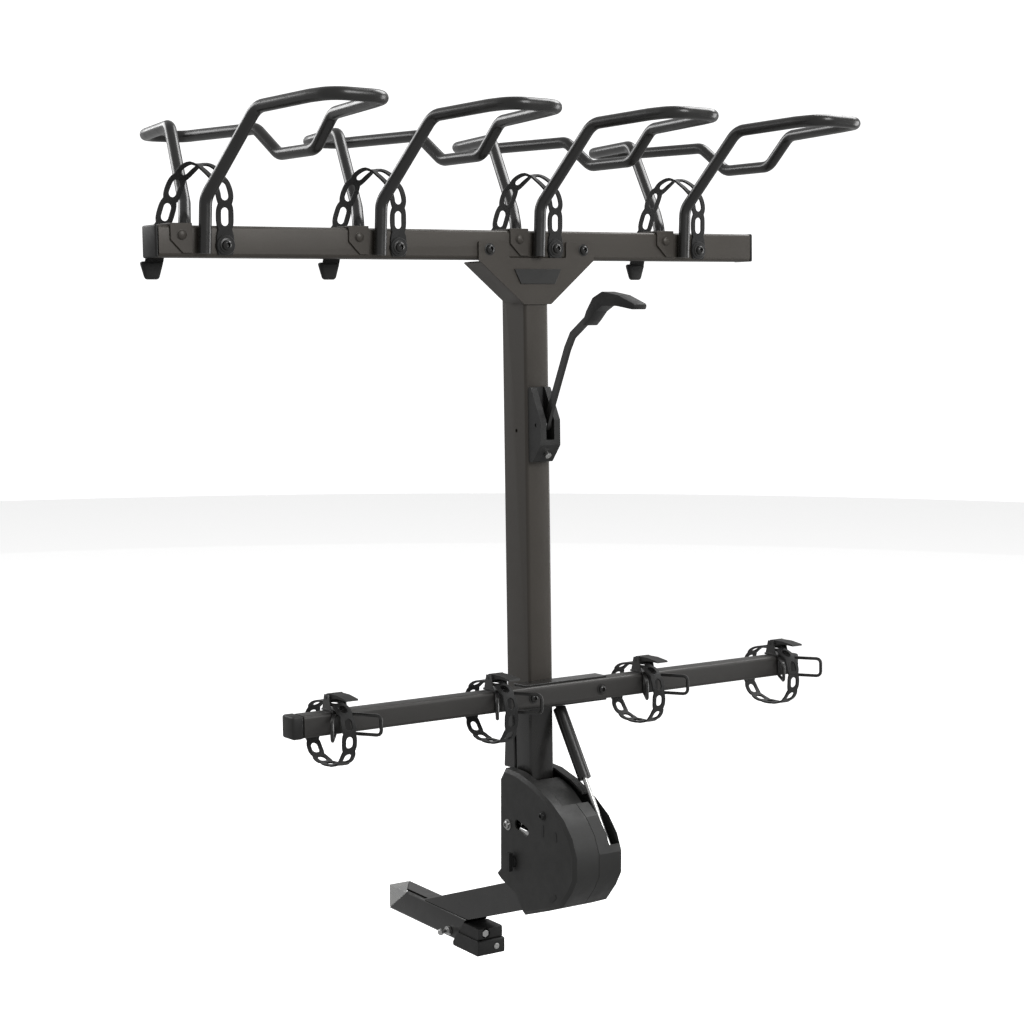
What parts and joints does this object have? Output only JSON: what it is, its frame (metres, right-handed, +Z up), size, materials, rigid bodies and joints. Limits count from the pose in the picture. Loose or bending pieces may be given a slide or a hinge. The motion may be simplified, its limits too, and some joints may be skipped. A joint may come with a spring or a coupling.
{
  "type": "hitch mounted bike rack",
  "caption": "Vertical hitch rack: tilting mast with wheel hoops on an upper crossbar, strapped wheel cradles on a lower crossbar, and an anti-wobble hitch shank.",
  "frame": {"origin": "underside of the hitch shank, on its centre line, 18 mm ahead of the hitch pin's hole", "axes": "+Y along the shank into the car's receiver, +X along the crossbars (right as seen from behind), +Z up"},
  "size_m": [1.311, 0.7915, 1.5562],
  "materials": {
    "brown_powder_coat": "satin brown-grey metallic powder coat",
    "black_coated_steel": "semi-gloss black coat",
    "black_plastic": "fine textured black",
    "black_rubber": "matt black",
    "bright_steel": "bright zinc plate"
  },
  "bodies": {
    "hitch_frame": {"shank_tube": "black_coated_steel", "bolt_housing": "black_plastic", "lock_housing": "black_plastic", "tongue_tube": "black_coated_steel", "pivot_cheek_left": "black_coated_steel", "pivot_cheek_right": "black_coated_steel", "pivot_shaft": "bright_steel", "casing_left": "black_plastic", "casing_right": "black_plastic"},
    "mast": {"lower_mast_tube": "black_coated_steel", "upper_mast_tube": "brown_powder_coat", "mast_heel": "black_coated_steel", "tilt_shield": "black_plastic", "upper_crossbar": "brown_powder_coat", "crossbar_cap_left": "black_plastic", "crossbar_cap_right": "black_plastic", "gusset_plate": "brown_powder_coat", "blank_badge": "black_plastic", "wheel_hoop_1": "black_coated_steel", "hoop_saddle_1": "brown_powder_coat", "tire_strap_1": "black_rubber", "wheel_cradle_1": "black_coated_steel", "wheel_strap_1": "black_rubber", "wheel_hoop_2": "black_coated_steel", "hoop_saddle_2": "brown_powder_coat", "tire_strap_2": "black_rubber", "wheel_cradle_2": "black_coated_steel", "wheel_strap_2": "black_rubber", "wheel_hoop_3": "black_coated_steel", "hoop_saddle_3": "brown_powder_coat", "tire_strap_3": "black_rubber", "wheel_cradle_3": "black_coated_steel", "wheel_strap_3": "black_rubber", "wheel_hoop_4": "black_coated_steel", "hoop_saddle_4": "brown_powder_coat", "tire_strap_4": "black_rubber", "wheel_cradle_4": "black_coated_steel", "wheel_strap_4": "black_rubber", "lower_bar_bracket": "black_coated_steel", "lower_crossbar": "brown_powder_coat", "lower_cap_left": "black_plastic", "lower_cap_right": "black_plastic", "strut_pin": "bright_steel", "lever_housing": "black_plastic"},
    "strut_body": {"strut_body": "black_coated_steel"},
    "strut_rod": {"strut_rod": "bright_steel"},
    "release_lever": {"lever_arm": "black_coated_steel", "lever_grip": "black_rubber"},
    "latch": {"latch_pin": "bright_steel", "release_rod": "bright_steel"},
    "lever_lock": {"lever_lock_cylinder": "bright_steel"},
    "hitch_lock": {"hitch_lock_cylinder": "bright_steel"},
    "hitch_pin": {"hitch_pin": "bright_steel"},
    "tension_bolt": {"tension_bolt": "bright_steel"},
    "wedge": {"anti_wobble_wedge": "bright_steel"},
    "tilt_knob": {"tilt_lock_knob": "black_plastic"},
    "ratchet_1": {"ratchet_lever_1": "black_plastic"},
    "ratchet_2": {"ratchet_lever_2": "black_plastic"},
    "ratchet_3": {"ratchet_lever_3": "black_plastic"},
    "ratchet_4": {"ratchet_lever_4": "black_plastic"}
  },
  "joints": [
    {"name": "mast_tilt", "type": "hinge", "parent": "hitch_frame", "child": "mast", "pos_m": [0, -0.28, 0.215], "axis": [1, 0, 0], "range_deg": [0, 29.8]},
    {"name": "strut_hinge", "type": "hinge", "parent": "mast", "child": "strut_body", "pos_m": [0.0395, -0.27396, 0.51294], "axis": [1, 0, 0], "range_deg": [-8, 2]},
    {"name": "strut_stroke", "type": "slide", "parent": "strut_body", "child": "strut_rod", "axis": [0, 0.5721, 0.8202], "range_m": [0, 0.095]},
    {"name": "lever_pull", "type": "hinge", "parent": "mast", "child": "release_lever", "pos_m": [0, -0.30405, 1.00386], "axis": [1, 0, 0], "range_deg": [0, 34.4], "stiffness_Nm_per_rad": 3, "springref_deg": -17.19},
    {"name": "latch_lift", "type": "slide", "parent": "mast", "child": "latch", "axis": [0, 0.0253, 0.9997], "range_m": [0, 0.0125]},
    {"name": "lever_lock_turn", "type": "hinge", "parent": "mast", "child": "lever_lock", "pos_m": [0, -0.31275, 0.94866], "axis": [0, 0.759, 0.6511], "range_deg": [0, 90]},
    {"name": "hitch_lock_turn", "type": "hinge", "parent": "hitch_frame", "child": "hitch_lock", "pos_m": [0.012, -0.12, 0.0055], "axis": [0, 1, 0], "range_deg": [0, 90]},
    {"name": "hitch_pin_pull", "type": "slide", "parent": "hitch_frame", "child": "hitch_pin", "axis": [-1, 0, 0], "range_m": [0, 0.06]},
    {"name": "tension_bolt_turn", "type": "hinge", "parent": "hitch_frame", "child": "tension_bolt", "pos_m": [-0.01, -0.05, 0.032], "axis": [0, 1, 0], "range_deg": [0, 720]},
    {"name": "wedge_slide", "type": "slide", "parent": "hitch_frame", "child": "wedge", "axis": [-0.3088, -0.8996, 0.3088], "range_m": [0, 0.0031]},
    {"name": "tilt_knob_turn", "type": "hinge", "parent": "hitch_frame", "child": "tilt_knob", "pos_m": [-0.055, -0.28, 0.215], "axis": [1, 0, 0], "range_deg": [0, 90]},
    {"name": "ratchet_1_lift", "type": "hinge", "parent": "mast", "child": "ratchet_1", "pos_m": [-0.437, -0.31568, 0.56396], "axis": [-1, 0, 0], "range_deg": [0, 80]},
    {"name": "ratchet_2_lift", "type": "hinge", "parent": "mast", "child": "ratchet_2", "pos_m": [-0.1135, -0.31568, 0.56396], "axis": [-1, 0, 0], "range_deg": [0, 80]},
    {"name": "ratchet_3_lift", "type": "hinge", "parent": "mast", "child": "ratchet_3", "pos_m": [0.21, -0.31568, 0.56396], "axis": [-1, 0, 0], "range_deg": [0, 80]},
    {"name": "ratchet_4_lift", "type": "hinge", "parent": "mast", "child": "ratchet_4", "pos_m": [0.5335, -0.31568, 0.56396], "axis": [-1, 0, 0], "range_deg": [0, 80]}
  ],
  "couplings": [
    {"joint": "strut_hinge", "follows": "mast_tilt", "ratio": -0.092},
    {"joint": "strut_stroke", "follows": "mast_tilt", "m_per_rad": 0.1727},
    {"joint": "latch_lift", "follows": "lever_pull", "m_per_rad": 0.02},
    {"joint": "wedge_slide", "follows": "tension_bolt_turn", "m_per_rad": 0.00023873}
  ]
}
